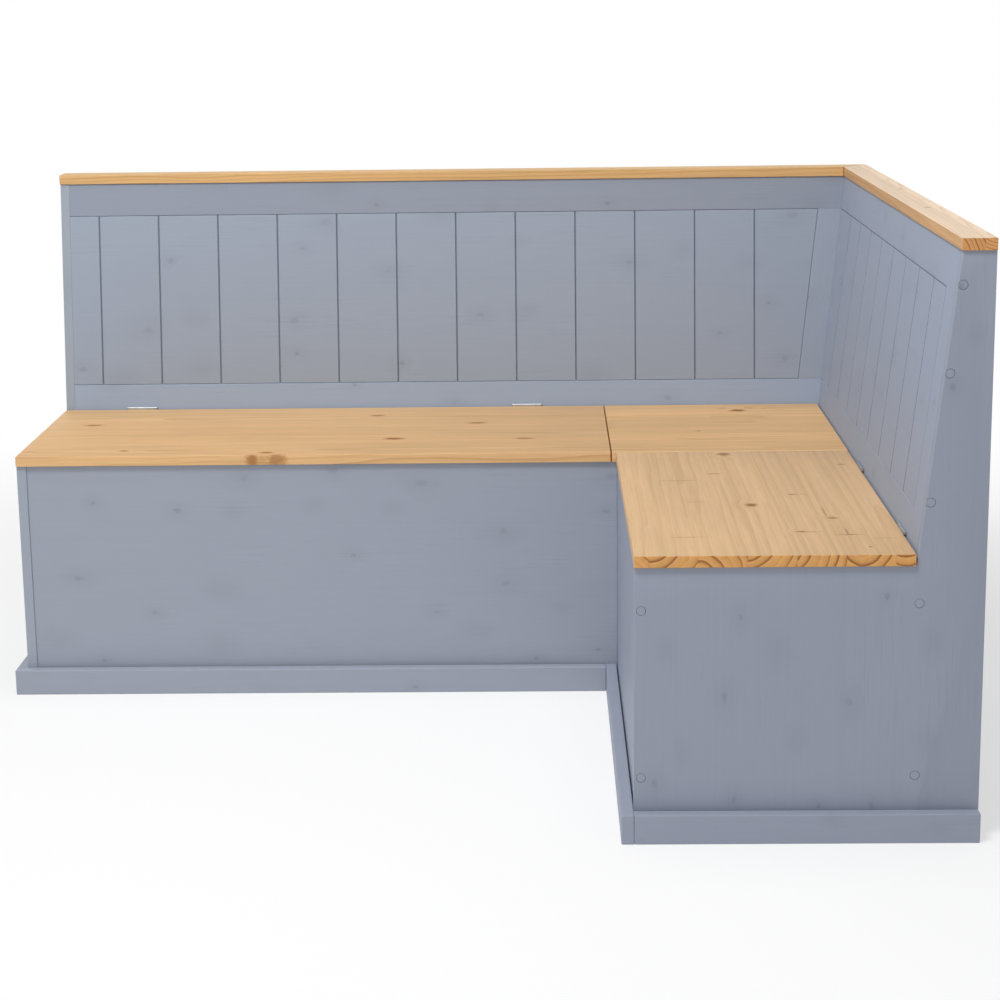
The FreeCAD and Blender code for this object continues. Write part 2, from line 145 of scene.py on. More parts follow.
def growth_rings(tree, place, stave_wide, ring_wide, seed, bulges=()):
    along, across, through = add(tree, "ShaderNodeSeparateXYZ", {}, {0: place}).outputs
    row = add(tree, "ShaderNodeMath", {"operation": "MULTIPLY_ADD", 1: 1 / stave_wide, 2: seed * 7.31},
              {0: across})
    number = add(tree, "ShaderNodeMath", {"operation": "FLOOR"}, {0: row.outputs[0]})
    inside = add(tree, "ShaderNodeMath", {"operation": "FRACT"}, {0: row.outputs[0]})
    luck = add(tree, "ShaderNodeTexWhiteNoise", {"noise_dimensions": "1D"}, {"W": number.outputs[0]})
    dice = add(tree, "ShaderNodeSeparateXYZ", {}, {0: luck.outputs["Color"]}).outputs
    # The trunk's centre lies within 30 mm of the stave's edge and 12 to 60 mm under the board
    side = add(tree, "ShaderNodeMath", {"operation": "MULTIPLY_ADD", 1: 60 * mm, 2: -30 * mm}, {0: dice[0]})
    side = add(tree, "ShaderNodeMath", {"operation": "MULTIPLY_ADD", 1: stave_wide},
               {0: inside.outputs[0], 2: side.outputs[0]})
    under = add(tree, "ShaderNodeMath", {"operation": "MULTIPLY_ADD", 1: 48 * mm, 2: 12 * mm}, {0: dice[1]})
    # A trunk is never quite parallel to the saw, so its centre drifts along the board
    slope = add(tree, "ShaderNodeMath", {"operation": "MULTIPLY_ADD", 1: 0.05, 2: -0.025}, {0: dice[2]})
    drift = add(tree, "ShaderNodeMath", {"operation": "MULTIPLY_ADD"},
                {0: along, 1: slope.outputs[0], 2: under.outputs[0]})
    # The joiner turns many staves over, so some arcs open upwards
    over = add(tree, "ShaderNodeMath", {"operation": "GREATER_THAN", 1: 0.4}, {0: dice[2]})
    sign = add(tree, "ShaderNodeMath", {"operation": "MULTIPLY_ADD", 1: -2.0, 2: 1.0}, {0: over.outputs[0]})
    depth = add(tree, "ShaderNodeMath", {"operation": "MULTIPLY_ADD"},
                {0: through, 1: sign.outputs[0], 2: drift.outputs[0]})
    cross = add(tree, "ShaderNodeCombineXYZ", {}, {1: side.outputs[0], 2: depth.outputs[0]})
    radius = add(tree, "ShaderNodeVectorMath", {"operation": "LENGTH"},
                 {0: cross.outputs[0]}).outputs["Value"]
    # Slow and quick unevenness of the rings: scale along, scale across, size in metres
    for along_scale, across_scale, reach in ((2.2, 11, 16 * mm), (9, 45, 3 * mm)):
        spot = stretched(tree, place, along_scale, across_scale, seed)
        noise = add(tree, "ShaderNodeTexNoise", {"Scale": 1.0, "Detail": 2.0}, {"Vector": spot})
        radius = add(tree, "ShaderNodeMath", {"operation": "MULTIPLY_ADD", 1: reach},
                     {0: noise.outputs["Fac"], 2: radius}).outputs[0]
    for bulge in bulges:
        radius = add(tree, "ShaderNodeMath", {"operation": "ADD"}, {0: radius, 1: bulge}).outputs[0]
    years = add(tree, "ShaderNodeMath", {"operation": "DIVIDE", 1: ring_wide}, {0: radius})
    season = add(tree, "ShaderNodeMath", {"operation": "FRACT"}, {0: years.outputs[0]})
    # Dry years leave faint late wood and wet ones a bold line, so no two rings look alike
    year = add(tree, "ShaderNodeMath", {"operation": "FLOOR"}, {0: years.outputs[0]})
    rain = add(tree, "ShaderNodeTexWhiteNoise", {"noise_dimensions": "1D"}, {"W": year.outputs[0]})
    late = add(tree, "ShaderNodeMapRange", {3: 0.6, 4: 1.0}, {0: rain.outputs["Value"]})
    season = add(tree, "ShaderNodeMath", {"operation": "MULTIPLY"},
                 {0: season.outputs[0], 1: late.outputs[0]})
    return {"season": season.outputs[0], "tone": dice[1], "inside": inside.outputs[0]}


# %% [markdown]
# A knot is the foot of a branch. It is darker than the board and denser, and the rings
# flow round it. Where the saw runs along a branch it leaves a long thin streak instead.
# The marks of the lids and the corner seat are listed one by one where the photograph shows
# them. Each has its middle, measured from the middle of the board, its reach along and
# across the grain, all in millimetres, and its strength.

# %% Knots and streaks at chosen places
# A knot more than 210 mm from a lid's middle sits at its edge and reaches 13 mm down it
edge_band = 210
edge_knot_reach = 13 * mm
# Rings bend round a knot above this reach along, reach across and strength
least_knot = (2.5, 5, 0.75)


def knot_marks(tree, place, knots):
    noise = add(tree, "ShaderNodeTexNoise", {"Scale": 160.0, "Detail": 2.0}, {"Vector": place})
    ragged = add(tree, "ShaderNodeMapRange", {3: -0.45, 4: 0.45}, {0: noise.outputs["Fac"]}).outputs[0]
    marks, bulges = [], []
    for along, across, reach_along, reach_across, strength in knots:
        # A knot that the saw has cut at the board's edge is round on the edge face too
        through = 1 / edge_knot_reach if abs(across) > edge_band else 0
        scale = (1 / (reach_along * mm), 1 / (reach_across * mm), through)
        offset = (-along * mm * scale[0], -across * mm * scale[1], 0)
        spot = add(tree, "ShaderNodeVectorMath", {"operation": "MULTIPLY_ADD", 1: scale, 2: offset},
                   {0: place})
        away = add(tree, "ShaderNodeVectorMath", {"operation": "LENGTH"},
                   {0: spot.outputs[0]}).outputs["Value"]
        edge = add(tree, "ShaderNodeMath", {"operation": "ADD"}, {0: away, 1: ragged})
        mark = add(tree, "ShaderNodeMapRange",
                   {"interpolation_type": "SMOOTHSTEP", 1: 1.45, 2: 0.4, 3: 0.0, 4: strength},
                   {0: edge.outputs[0]})
        marks.append(mark.outputs[0])
        sizes = zip((reach_along, reach_across, strength), least_knot)
        if all(size > least for size, least in sizes):
            bulge = add(tree, "ShaderNodeMapRange",
                        {"interpolation_type": "SMOOTHSTEP", 1: 4.5, 2: 0.5, 3: 0.0, 4: reach_across * mm},
                        {0: away})
            bulges.append(bulge.outputs[0])
    darkest = marks[0] if marks else None
    for mark in marks[1:]:
        darkest = add(tree, "ShaderNodeMath", {"operation": "MAXIMUM"}, {0: darkest, 1: mark}).outputs[0]
    return darkest, bulges


print("rings bend round knots of more than", least_knot[1], "mm across the grain")

# %% [markdown]
# Oiled pine: planed boards of Scots pine, glued from staves and rubbed with oil. Oil
# deepens the colour and leaves a satin surface. Early wood is pale straw, late wood is
# amber, and the cut ends drink more oil, so they are darker with clearer rings. The
# surface tells the faces apart by their normal: along the grain it is an end, and the
# planed side and the top each get a slight tint of their own. On the lids, the corner seat
# and the long cap the top's tint is painted shade: it darkens and cools the tops, which
# take more light than the sides.

# %% Colours by face
def face_colours(tree, season, order, colours):
    ramps = []
    for kind, middle_stop in (("face", 0.5), ("end", 0.6)):
        early, middle, late = colours[kind]
        stops = [(0.0, early), (1.0, early), (middle_stop, middle), (0.82, late), (0.94, late)]
        ramps.append(add(tree, "ShaderNodeValToRGB", {}, {0: season}, stops).outputs[0])
    wood, ends = ramps
    normal = add(tree, "ShaderNodeTexCoord").outputs["Normal"]
    faces = add(tree, "ShaderNodeVectorMath", {"operation": "ABSOLUTE"}, {0: normal})
    towards = add(tree, "ShaderNodeSeparateXYZ", {}, {0: faces.outputs[0]}).outputs
    # How far each point belongs to the cut end, to the planed side and to the top
    along_out, across_out, through_out = [
        add(tree, "ShaderNodeMapRange", {"interpolation_type": "SMOOTHSTEP", 1: 0.6, 2: 0.8},
            {0: towards["XYZ".index(axis)]}).outputs[0] for axis in order]
    # The top's tint on the lids, the corner seat and the long cap is painted shade
    for share, tint in ((across_out, colours["side"]), (through_out, colours["top"])):
        wood = add(tree, "ShaderNodeMix", {"data_type": "RGBA", "blend_type": "MULTIPLY", 7: linear(tint)},
                   {0: share, 6: wood}).outputs[2]
    wood = add(tree, "ShaderNodeMix", {"data_type": "RGBA"}, {0: along_out, 6: wood, 7: ends})
    return wood.outputs[2]


# The top tint is painted shade, which darkens and cools tops against the stronger light on them
oiled = {"face": ("#E8BC88", "#E5B781", "#D4A56E"), "end": ("#E1A76C", "#D69A5E", "#A06937"),
         "top": "#F0F3F6", "side": "#FFFFFF", "knot": "#8E5206"}
oiled_short = {**oiled, "face": ("#DFB88B", "#DDB587", "#D6AE80"), "end": ("#E6AC6B", "#D99E5B", "#A06937"),
               "knot": "#8A5F28"}
# The long cap's face is the oiled pine mixed darker, as painted shade against the stronger light that reaches
# it
oiled_cap_with_painted_shade = {**oiled, "face": ("#DDB47D", "#DAAF77", "#CA9D65")}
oiled_pale = {**oiled, "face": ("#DEC7AC", "#DBC2A6", "#D1B496"), "top": "#FFFFFF", "side": "#FBE2BE"}
bare = {"face": ("#DCC49E", "#D7BC93", "#C6A679"), "end": ("#CBAA7C", "#BC9767", "#946B41"),
        "top": "#FFFFFF", "side": "#FFFFFF"}
birch = {"face": ("#D8BF97", "#D1B58A", "#C09E6E"), "end": ("#B8925F", "#A57D4C", "#87602F"),
         "top": "#FFFFFF", "side": "#F4E6D0"}
print("early wood of an oiled top in linear light:", [round(v, 3) for v in linear(oiled["face"][0])])

# %% [markdown]
# Three layers of unevenness lie over the rings. Fibres are finer than a pixel, so they
# are drawn 1.5 mm wide and 60 mm long. Sap and resin make streaks about 8 mm wide and
# 300 mm long, with finer ones in them. Wide clouds of paler and darker wood lie under
# both. Each layer lists its scale along and across the grain, a shift of the seed, the
# detail and roughness of its noise, and its darkest and lightest tone.

# %% Fibres, streaks and staves
wood_layers = {"fibre": (16, 650, 0, 3.0, 0.5, 0.94, 1.05), "streak": (3.5, 130, 2, 5.0, 0.7, 0.9, 1.06),
               "cloud": (3, 14, 5, 2.0, 0.5, 0.95, 1.04)}


def wood_tone(tree, place, rings, seed):
    # Each stave is a little lighter or darker than its neighbours
    tones = [add(tree, "ShaderNodeMapRange", {3: 0.93, 4: 1.05}, {0: rings["tone"]})]
    noises = {}
    for layer, (along, across, shift, detail, uneven, dark, light) in wood_layers.items():
        spot = stretched(tree, place, along, across, seed + shift)
        noise = add(tree, "ShaderNodeTexNoise", {"Scale": 1.0, "Detail": detail, "Roughness": uneven},
                    {"Vector": spot})
        noises[layer] = noise.outputs["Fac"]
        tones.append(add(tree, "ShaderNodeMapRange", {1: 0.3, 2: 0.7, 3: dark, 4: light}, {0: noises[layer]}))
    # The glue line between two staves, about 0.6 mm wide
    seam = add(tree, "ShaderNodeMath", {"operation": "COMPARE", 1: 0.5, 2: 0.496}, {0: rings["inside"]})
    tones.append(add(tree, "ShaderNodeMapRange", {3: 0.84, 4: 1.0}, {0: seam.outputs[0]}))
    shade = tones[0].outputs[0]
    for tone in tones[1:]:
        shade = add(tree, "ShaderNodeMath", {"operation": "MULTIPLY"},
                    {0: shade, 1: tone.outputs[0]}).outputs[0]
    return shade, noises["fibre"]


print("layers over the rings:", list(wood_layers))


# %% Oiled and bare pine
def pine(name, order, centre, seed, colours, knots=(), stave_wide=75 * mm, ring_wide=5.5 * mm, rough=0.5):
    material, tree = new_material(name)
    place = board_place(tree, order, centre)
    mark, bulges = knot_marks(tree, place, knots)
    rings = growth_rings(tree, place, stave_wide, ring_wide, seed, bulges)
    wood = face_colours(tree, rings["season"], order, colours)
    shade, fibre = wood_tone(tree, place, rings, seed)
    colour = add(tree, "ShaderNodeVectorMath", {"operation": "SCALE"}, {0: wood, "Scale": shade}).outputs[0]
    if mark:
        colour = add(tree, "ShaderNodeMix", {"data_type": "RGBA", 7: linear(colours["knot"])},
                     {0: mark, 6: colour}).outputs[2]
    roughness = add(tree, "ShaderNodeMapRange", {3: rough - 0.06, 4: rough + 0.08}, {0: fibre})
    relief = add(tree, "ShaderNodeMath", {"operation": "MULTIPLY_ADD", 1: 0.4},
                 {0: rings["season"], 2: fibre})
    bump = add(tree, "ShaderNodeBump", {"Strength": 0.25, "Distance": 0.1 * mm},
               {"Height": relief.outputs[0]})
    shader = add(tree, "ShaderNodeBsdfPrincipled", {"IOR": 1.47, "Specular IOR Level": 0.3},
                 {"Base Color": colour, "Roughness": roughness.outputs[0], "Normal": bump.outputs[0]})
    return finish_material(material, shader)


# %% [markdown]
# Painted pine: the walls are brushed with a matt grey-blue furniture paint. The paint
# hides the colour of the wood but not its relief. Late wood stands up a little, because
# sanding takes more of the soft early wood, the brush leaves fine strokes along the
# grain, and knots bleed through as faint dark spots. Those spots come from a pattern of
# cells about 160 by 105 mm, of which only some hold a knot.

# %% Knots under the paint
def covered_knots(tree, place, seed):
    ragged_place = stretched(tree, place, 60, 90, seed)
    ragged = add(tree, "ShaderNodeTexNoise", {"Scale": 1.0, "Detail": 2.0}, {"Vector": ragged_place})
    knot_place = stretched(tree, place, 6.2, 9.5, seed * 2.3)
    cells = add(tree, "ShaderNodeTexVoronoi", {"voronoi_dimensions": "2D", "Scale": 1.0},
                {"Vector": knot_place})
    chance = add(tree, "ShaderNodeSeparateXYZ", {}, {0: cells.outputs["Color"]}).outputs
    small = add(tree, "ShaderNodeMapRange", {3: 0.55, 4: 1.3}, {0: chance[1]}).outputs[0]
    away = add(tree, "ShaderNodeMath", {"operation": "MULTIPLY"}, {0: cells.outputs["Distance"], 1: small})
    away = add(tree, "ShaderNodeMath", {"operation": "MULTIPLY_ADD", 1: 0.11},
               {0: ragged.outputs["Fac"], 2: away.outputs[0]})
    spots = []
    for least, outer, inner in ((0.5, 0.105, 0.065), (0.25, 0.30, 0.06)):
        present = add(tree, "ShaderNodeMath", {"operation": "GREATER_THAN", 1: least}, {0: chance[0]})
        spot = add(tree, "ShaderNodeMapRange", {"interpolation_type": "SMOOTHSTEP", 1: outer, 2: inner},
                   {0: away.outputs[0]})
        spots.append(add(tree, "ShaderNodeMath", {"operation": "MULTIPLY"},
                         {0: spot.outputs[0], 1: present.outputs[0]}).outputs[0])
    knot, halo = spots
    # A small knot is dense and shows dark, a wide one bleeds through faintly
    knot = add(tree, "ShaderNodeMath", {"operation": "MULTIPLY"}, {0: knot, 1: small})
    return knot.outputs[0], halo


# %% Painted shade in the grooves
def painted_groove_shade(tree, face):
    # Light hardly reaches into a groove, whose bottom is 3 mm behind the face, so its shade is
    # painted into the paint's colour, from a set depth behind the face to 4 mm behind it
    direction, distance, lip, dark = face
    where = add(tree, "ShaderNodeTexCoord").outputs["Object"]
    behind = add(tree, "ShaderNodeVectorMath", {"operation": "DOT_PRODUCT", 1: direction}, {0: where})
    behind = behind.outputs["Value"]
    sunk = add(tree, "ShaderNodeMapRange",
               {1: distance + lip, 2: distance + lip + 0.5 * mm, 3: 1.0, 4: dark}, {0: behind})
    rear = add(tree, "ShaderNodeMapRange", {1: distance + 4 * mm, 2: distance + 5 * mm}, {0: behind})
    return add(tree, "ShaderNodeMath", {"operation": "MAXIMUM"}, {0: sunk.outputs[0], 1: rear.outputs[0]})


# %% Grey-blue paint on pine
# The chest tone is the paint as it is mixed, and the long end panel's is a little lighter and greener. The
# other tones are painted light: the short leg's chest boards are painted darker as shade, the backrests
# cooler against the warm light the seats throw on them, the top rail darker as shade, and the bottom rail
# lighter and bluer against its shade and that warm light.
paint_tones_with_painted_light = {"chest": "#9AA0AD", "long_end": "#9BA3AF", "short_end": "#949BAB", "backrest": "#97A1B1",
                 "top_rail": "#8D95A4", "bottom_rail": "#9CAABF", "short_backrest": "#99A4B8"}
wall_stave = 110 * mm
wall_ring = 9 * mm


def painted(name, order, centre, seed, colour="chest", face=None):
    material, tree = new_material(name)
    place = board_place(tree, order, centre)
    season = growth_rings(tree, place, wall_stave, wall_ring, seed)["season"]
    ridge = add(tree, "ShaderNodeMapRange", {"interpolation_type": "SMOOTHSTEP", 1: 0.55, 2: 0.9},
                {0: season})
    knot, halo = covered_knots(tree, place, seed)
    # Brush strokes, drawn 3 mm wide and 120 mm long, which fade in and out over the board
    stroke_place = stretched(tree, place, 8, 330, seed)
    stroke = add(tree, "ShaderNodeTexNoise", {"Scale": 1.0, "Detail": 4.0, "Roughness": 0.65},
                 {"Vector": stroke_place})
    cloud_place = stretched(tree, place, 5, 12, seed + 3)
    cloud = add(tree, "ShaderNodeTexNoise", {"Scale": 1.0, "Detail": 3.0}, {"Vector": cloud_place})
    # In patches the grain is raised, and its lines show through the paint
    patch = add(tree, "ShaderNodeMapRange", {"interpolation_type": "SMOOTHSTEP", 1: 0.47, 2: 0.62},
                {0: cloud.outputs["Fac"]})
    raised = add(tree, "ShaderNodeMapRange", {"interpolation_type": "SMOOTHSTEP", 1: 0.5, 2: 0.68},
                 {0: stroke.outputs["Fac"]})
    raised = add(tree, "ShaderNodeMath", {"operation": "MULTIPLY"},
                 {0: raised.outputs[0], 1: patch.outputs[0]})
    tones = [
        add(tree, "ShaderNodeMapRange", {3: 1.0, 4: 0.985}, {0: ridge.outputs[0]}),
        add(tree, "ShaderNodeMapRange", {3: 1.0, 4: 0.84}, {0: knot}),
        add(tree, "ShaderNodeMapRange", {3: 1.0, 4: 0.95}, {0: halo}),
        add(tree, "ShaderNodeMapRange", {3: 1.0, 4: 0.93}, {0: raised.outputs[0]}),
        add(tree, "ShaderNodeMapRange", {1: 0.3, 2: 0.7, 3: 0.99, 4: 1.01}, {0: stroke.outputs["Fac"]}),
        add(tree, "ShaderNodeMapRange", {1: 0.3, 2: 0.7, 3: 0.985, 4: 1.012}, {0: cloud.outputs["Fac"]}),
    ]
    if face:
        tones.append(painted_groove_shade(tree, face))
    shade = tones[0].outputs[0]
    for tone in tones[1:]:
        shade = add(tree, "ShaderNodeMath", {"operation": "MULTIPLY"},
                    {0: shade, 1: tone.outputs[0]}).outputs[0]
    paint = linear(paint_tones_with_painted_light[colour])[:3]
    toned = add(tree, "ShaderNodeVectorMath", {"operation": "SCALE", 0: paint}, {"Scale": shade})
    height = add(tree, "ShaderNodeMath", {"operation": "MULTIPLY_ADD", 1: 0.4},
                 {0: ridge.outputs[0], 2: raised.outputs[0]})
    height = add(tree, "ShaderNodeMath", {"operation": "ADD"}, {0: height.outputs[0], 1: knot})
    bump = add(tree, "ShaderNodeBump", {"Strength": 0.4, "Distance": 0.2 * mm},
               {"Height": height.outputs[0]})
    roughness = add(tree, "ShaderNodeMapRange", {3: 0.5, 4: 0.62}, {0: stroke.outputs["Fac"]})
    shader = add(tree, "ShaderNodeBsdfPrincipled", {"IOR": 1.48},
                 {"Base Color": toned.outputs[0], "Roughness": roughness.outputs[0],
                  "Normal": bump.outputs[0]})
    return finish_material(material, shader)


print("shades of the paint:", len(paint_tones_with_painted_light))

# %% [markdown]
# Zinc-plated steel: the hinges and screws are pressed from sheet and plated, so they are
# bright with a faint crystal mottle, which is about 3 mm wide.

# %% Zinc-plated steel
def zinc_steel():
    material, tree = new_material("zinc_plated_pressed_steel")
    where = add(tree, "ShaderNodeTexCoord").outputs["Object"]
    noise = add(tree, "ShaderNodeTexNoise", {"Scale": 330.0, "Detail": 4.0}, {"Vector": where})
    mottle = noise.outputs["Fac"]
    colour = add(tree, "ShaderNodeValToRGB", {}, {0: mottle}, [(0.3, "#9C9D9F"), (0.7, "#B8B9BB")])
    roughness = add(tree, "ShaderNodeMapRange", {1: 0.3, 2: 0.7, 3: 0.42, 4: 0.58}, {0: mottle})
    bump = add(tree, "ShaderNodeBump", {"Strength": 0.2, "Distance": 0.05 * mm}, {"Height": mottle})
    shader = add(tree, "ShaderNodeBsdfPrincipled", {"Metallic": 1.0},
                 {"Base Color": colour.outputs[0], "Roughness": roughness.outputs[0],
                  "Normal": bump.outputs[0]})
    return finish_material(material, shader)


steel = zinc_steel()
print("materials so far:", [material.name for material in bpy.data.materials])

# %% [markdown]
# Every piece follows a body of the bench. Which body a node belongs to is written in the
# record, so a piece that replaces a node rides on the same body.

# %% Which body carries which node
bodies = frame["record"]["behaviour"]["bodies"]
body_of_node = {node: body for body, members in bodies.items() for node in members}


def middle_of(node):
    low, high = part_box(node)
    return tuple((low + high) / 2)


def stand_for(piece, node, material):
    piece.data.materials.clear()
    piece.data.materials.append(material)
    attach(piece, body_of_node[node])
    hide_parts(node)


print("bodies:", {body: len(members) for body, members in bodies.items()})

# %% [markdown]
# A board starts as a block of its real size. No joiner leaves a razor edge: every arris
# is eased with sandpaper, and that thin round catches the light and draws the outline of
# the board. So the sharp edges are selected by their angle and bevelled.

# %% Blocks with eased edges
def block(name, low, high):
    bpy.ops.object.select_all(action="DESELECT")
    low, high = Vector(low), Vector(high)
    bpy.ops.mesh.primitive_cube_add(size=1, location=(low + high) / 2)
    piece = bpy.context.object
    piece.name = piece.data.name = name
    piece.scale = high - low
    bpy.ops.object.transform_apply(location=True, rotation=False, scale=True)
    return piece


def ease(piece, radius, segments=3):
    bpy.ops.object.mode_set(mode="EDIT")
    bpy.ops.mesh.select_mode(type="EDGE")
    bpy.ops.mesh.select_all(action="DESELECT")
    bpy.ops.mesh.edges_select_sharp(sharpness=math.radians(25))
    bpy.ops.mesh.bevel(offset=radius, segments=segments, affect="EDGES")
    bpy.ops.object.mode_set(mode="OBJECT")
    bpy.ops.object.shade_smooth_by_angle(angle=math.radians(40))
    bpy.ops.object.modifier_add(type="WEIGHTED_NORMAL")
    piece.modifiers[-1].keep_sharp = True
    bpy.ops.object.modifier_apply(modifier=piece.modifiers[-1].name)


def pick(piece, kind, test):
    bpy.ops.object.mode_set(mode="EDIT")
    bpy.ops.mesh.select_mode(type=kind)
    bpy.ops.mesh.select_all(action="DESELECT")
    shape = bmesh.from_edit_mesh(piece.data)
    for item in {"VERT": shape.verts, "FACE": shape.faces}[kind]:
        spots = [item.co] if kind == "VERT" else [v.co for v in item.verts]
        if all(test(spot) for spot in spots):
            item.select_set(True)
    shape.select_flush_mode()
    bmesh.update_edit_mesh(piece.data)


def cut_away(piece, tools):
    for tool in tools:
        bpy.ops.object.select_all(action="DESELECT")
        bpy.context.view_layer.objects.active = piece
        piece.select_set(True)
        bpy.ops.object.modifier_add(type="BOOLEAN")
        change = piece.modifiers[-1]
        change.operation = "DIFFERENCE"
        change.solver = "EXACT"
        change.object = tool
        bpy.ops.object.modifier_apply(modifier=change.name)
        bpy.data.objects.remove(tool)


# %% [markdown]
# Front boards and plinths are plain planed boards, so a block with eased edges is the
# whole shape. The grain runs along the longest side. The letters after each name give
# the axes along the grain, across the board and through it.

# %% Front boards and plinths
plain_boards = {"long_front_panel": "XZY", "short_front_panel": "YZX", "long_plinth_front": "XZY",
                "long_plinth_side": "YZX", "short_plinth_side": "YZX", "short_plinth_end": "XZY"}
painted_ease = 1.0 * mm
plinth_ease = 1.8 * mm
for seed, (node, order) in enumerate(plain_boards.items()):
    board = block(node + "_painted", *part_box(node))
    ease(board, plinth_ease if "plinth" in node else painted_ease)
    # The short leg's boards take the darker tone, which is painted shade
    tone = "short_end" if node.startswith("short") else "chest"
    stand_for(board, node, painted("brushed_paint_on_" + node, order, middle_of(node), seed + 1, tone))
print("plain painted boards:", len(plain_boards))

# %% [markdown]
# An end panel is a chest side and an arm for the backrest in one board. Its lower half is
# a block. A cut across its top face at the foot of the arm leaves a strip, which is
# extruded up to the cap, and then the arm's top front edge is moved back to its slope.
# The plugs are islands of one node, and the box of each gives its real place.

# %% Islands of a node
def islands(node):
    shape = bmesh.new()
    shape.from_mesh(nodes[node].data)
    bmesh.ops.remove_doubles(shape, verts=shape.verts, dist=0.01 * mm)
    found, seen = [], set()
    for start in shape.verts:
        if start.index in seen:
            continue
        group, queue = [], [start]
        seen.add(start.index)
        while queue:
            spot = queue.pop()
            group.append(spot.co.copy())
            for edge in spot.link_edges:
                other = edge.other_vert(spot)
                if other.index not in seen:
                    seen.add(other.index)
                    queue.append(other)
        low = Vector([min(co[i] for co in group) for i in range(3)])
        high = Vector([max(co[i] for co in group) for i in range(3)])
        found.append((low, high))
    shape.free()
    return found


plug_places = {leg: islands(leg + "_end_plugs") for leg in ("long", "short")}
print("plugs:", {leg: len(places) for leg, places in plug_places.items()})


# %% End panels with their arms
def arm_profile(leg):
    """Depth axis, the arm's front at its foot and at its top, and the heights of both."""
    axis = 1 if leg == "long" else 0
    spots = [v.co for v in nodes[leg + "_end_panel"].data.vertices]
    foot_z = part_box(leg + "_lid")[0].z
    top_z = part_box(leg + "_end_panel")[1].z
    top = min(s[axis] for s in spots if s.z > top_z - mm)
    foot = max(s[axis] for s in spots if abs(s.z - foot_z) < 0.1 * mm)
    return axis, foot, top, foot_z, top_z


def end_panel(leg):
    low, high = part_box(leg + "_end_panel")
    axis, foot, top, foot_z, top_z = arm_profile(leg)
    panel = block(leg + "_end_panel_painted", low, (high.x, high.y, foot_z))
    normal = Vector((0, 0, 0))
    normal[axis] = 1.0
    spot = Vector((0, 0, 0))
    spot[axis] = foot
    bpy.ops.object.mode_set(mode="EDIT")
    bpy.ops.mesh.select_all(action="SELECT")
    bpy.ops.mesh.bisect(plane_co=spot, plane_no=normal)
    pick(panel, "FACE", lambda p: p.z > foot_z - 0.1 * mm and p[axis] > foot - 0.1 * mm)
    rise = Vector((0, 0, top_z - foot_z))
    bpy.ops.mesh.extrude_region_move(TRANSFORM_OT_translate={"value": rise})
    pick(panel, "VERT", lambda p: p.z > top_z - mm and abs(p[axis] - foot) < mm)
    bpy.ops.transform.translate(value=normal * (top - foot))
    bpy.ops.object.mode_set(mode="OBJECT")
    return panel


print("arm of the long end panel:", [round(v, 4) for v in arm_profile("long")])

# %% [markdown]
# Round each plug the real bore leaves 0.05 mm, too fine a gap to see. Paint breaks at that
# joint, so the plug's rim is eased and the bore is cut 0.45 mm wider with a cylinder, and
# the two make the thin ring that the eye finds on each panel.

# %% Bores and plugs
def drum(name, low, high, extra, axis):
    bpy.ops.object.select_all(action="DESELECT")
    low, high = Vector(low), Vector(high)
    across = (axis + 1) % 3
    radius = (high[across] - low[across]) / 2 + extra
    turn = (0, math.radians(90), 0) if axis == 0 else (math.radians(90), 0, 0)
    bpy.ops.mesh.primitive_cylinder_add(vertices=48, radius=radius, depth=high[axis] - low[axis],
                                        location=(low + high) / 2, rotation=turn)
    piece = bpy.context.object
    piece.name = piece.data.name = name
    bpy.ops.object.transform_apply(location=True, rotation=True, scale=True)
    return piece


bore_gap = 0.45 * mm
bore_reach = 3.0 * mm
plug_ease = 0.6 * mm
for seed, leg in enumerate(("long", "short")):
    panel = end_panel(leg)
    ease(panel, painted_ease)
    axis = 0 if leg == "long" else 1
    reach = Vector((0, 0, 0))
    reach[axis] = bore_reach
    tools = [drum("bore", low - reach, high, bore_gap, axis) for low, high in plug_places[leg]]
    cut_away(panel, tools)
    order = "ZYX" if leg == "long" else "ZXY"
    node = leg + "_end_panel"
    # On the short leg this tone is painted shade
    tone = leg + "_end"
    stand_for(panel, node, painted("brushed_paint_on_" + node, order, middle_of(node), seed + 21, tone))

    plugs = [drum("plug", low, high, 0, axis) for low, high in plug_places[leg]]
    for plug in plugs:
        bpy.ops.object.select_all(action="DESELECT")
        bpy.context.view_layer.objects.active = plug
        plug.select_set(True)
        ease(plug, plug_ease, 2)
    bpy.ops.object.select_all(action="DESELECT")
    for plug in plugs:
        plug.select_set(True)
    bpy.context.view_layer.objects.active = plugs[0]
    bpy.ops.object.join()
    node = leg + "_end_plugs"
    plugs[0].name = plugs[0].data.name = node + "_painted"
    stand_for(plugs[0], node, painted("brushed_paint_on_" + node, order, middle_of(node), seed + 31, tone))
print("end panels:", 2, "plugs a panel:", len(plug_places["long"]))

# %% [markdown]
# Lids and the corner seat are the boards that a hand touches, so their edges are eased a
# little more. The rear edge of each lid has a mortise for each hinge leaf: a notch as
# deep as the leaf is thick, cut with a block 5 mm longer than the leaf at each end. The
# short lid comes from a wider trunk, so its rings stand further apart.

